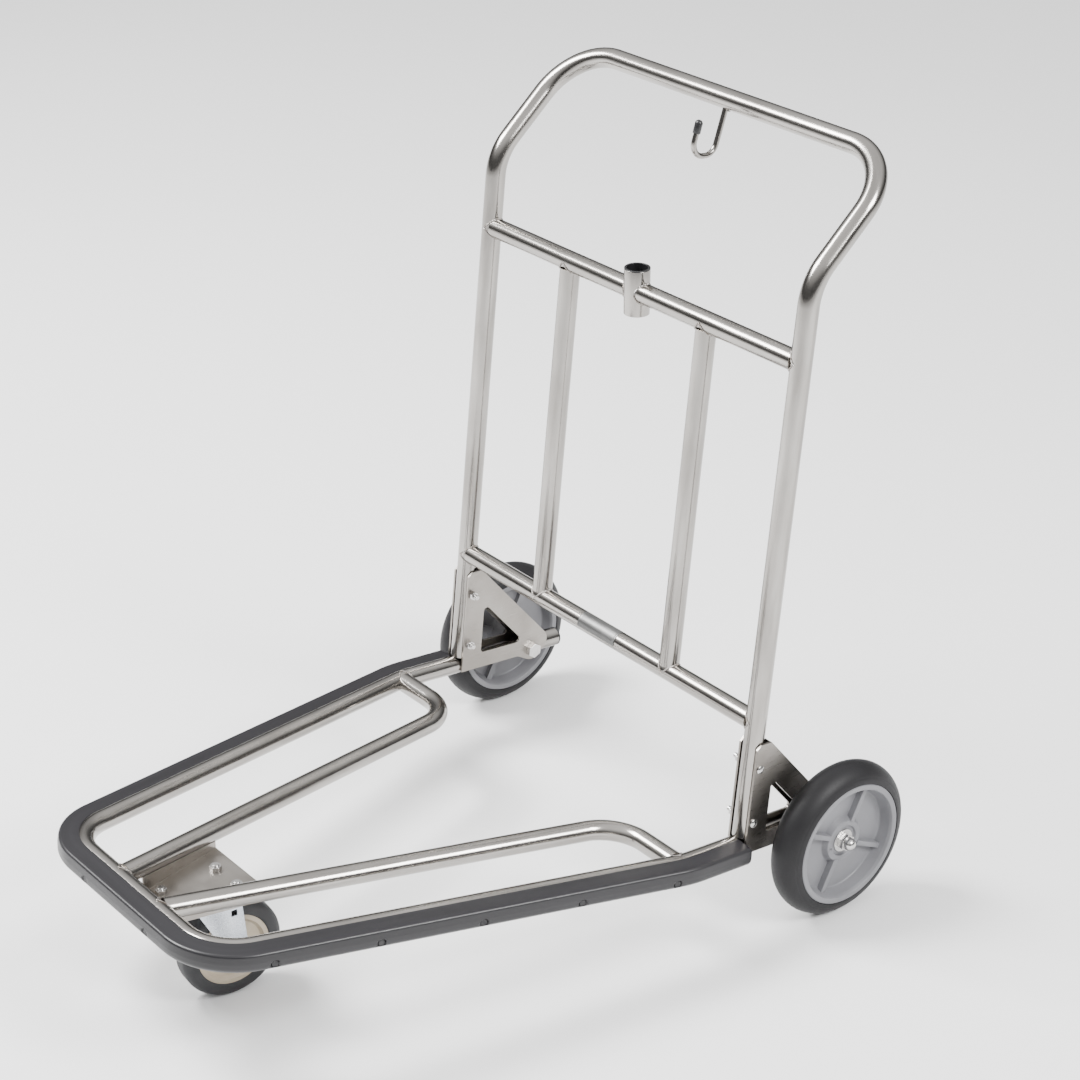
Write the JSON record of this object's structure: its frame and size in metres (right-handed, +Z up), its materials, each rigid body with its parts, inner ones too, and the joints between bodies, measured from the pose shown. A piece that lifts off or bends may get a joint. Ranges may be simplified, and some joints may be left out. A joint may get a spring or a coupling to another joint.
{
  "type": "luggage push cart",
  "caption": "Push cart with a stainless tube frame, a bent push handle, a tapered platform edged with a rubber bumper, fixed rear wheels and a swivel caster.",
  "frame": {"origin": "on the ground, under the middle of the cart's outline", "axes": "+Z up, +Y from the nose of the platform towards the push handle, X across the cart"},
  "size_m": [0.7212, 0.9164, 0.9454],
  "materials": {
    "stainless_tube": "polished stainless steel tube, wall 1.6 mm, TIG welded",
    "stainless_sheet": "folded stainless sheet with a fine brushed grain",
    "plated_fasteners": "bright plated steel",
    "zinc_plate": "bright blue-white zinc plated pressed steel",
    "bumper_rubber": "satin dark grey extruded rubber",
    "wheel_tyre": "matt soft grey-black rubber",
    "wheel_plastic": "satin grey moulded plastic",
    "black_plastic": "satin black moulded plastic",
    "plain_plate": "plain satin plate with no marking",
    "caster_rubber": "dark grey solid rubber",
    "caster_core": "beige moulded nylon",
    "bearing_nylon": "natural nylon"
  },
  "bodies": {
    "cart_frame": {"handle_frame": "stainless_tube", "upper_crossbar_left": "stainless_tube", "upper_crossbar_right": "stainless_tube", "accessory_socket": "stainless_tube", "socket_liner": "black_plastic", "lower_crossbar": "stainless_tube", "left_slat": "stainless_tube", "right_slat": "stainless_tube", "bag_hook": "stainless_tube", "hook_tip": "black_plastic", "name_plate": "plain_plate", "base_ring": "stainless_tube", "left_inner_rail": "stainless_tube", "right_inner_rail": "stainless_tube", "tube_end_plugs": "black_plastic", "bumper": "bumper_rubber", "bumper_screws": "plated_fasteners", "left_bracket": "stainless_sheet", "right_bracket": "stainless_sheet", "bracket_screws": "plated_fasteners", "bracket_nuts": "plated_fasteners", "left_axle_bolt": "plated_fasteners", "right_axle_bolt": "plated_fasteners", "axle_spacers": "plated_fasteners", "axle_washers": "plated_fasteners", "axle_nuts": "plated_fasteners", "caster_mount_plate": "stainless_sheet", "caster_bolts": "plated_fasteners", "caster_nuts": "plated_fasteners", "caster_top_plate": "zinc_plate", "caster_race": "zinc_plate", "caster_kingpin": "zinc_plate"},
    "left_wheel": {"left_tyre": "wheel_tyre", "left_hub": "wheel_plastic", "left_bearing": "bearing_nylon"},
    "right_wheel": {"right_tyre": "wheel_tyre", "right_hub": "wheel_plastic", "right_bearing": "bearing_nylon"},
    "caster_swivel": {"caster_fork": "zinc_plate", "caster_axle": "zinc_plate", "caster_axle_nut": "zinc_plate", "caster_sleeve": "zinc_plate"},
    "caster_wheel": {"caster_tyre": "caster_rubber", "caster_hub": "caster_core", "caster_bush": "bearing_nylon"}
  },
  "joints": [
    {"name": "left_wheel_spin", "type": "hinge", "parent": "cart_frame", "child": "left_wheel", "pos_m": [-0.331, 0.35535, 0.1016], "axis": [1, 0, 0], "continuous": true},
    {"name": "right_wheel_spin", "type": "hinge", "parent": "cart_frame", "child": "right_wheel", "pos_m": [0.331, 0.35535, 0.1016], "axis": [1, 0, 0], "continuous": true},
    {"name": "caster_turn", "type": "hinge", "parent": "cart_frame", "child": "caster_swivel", "pos_m": [0, -0.34707, 0.148], "axis": [0, 0, 1], "continuous": true},
    {"name": "caster_wheel_spin", "type": "hinge", "parent": "caster_swivel", "child": "caster_wheel", "pos_m": [0.00334, -0.31524, 0.0635], "axis": [0.9945, -0.1045, 0], "continuous": true}
  ]
}
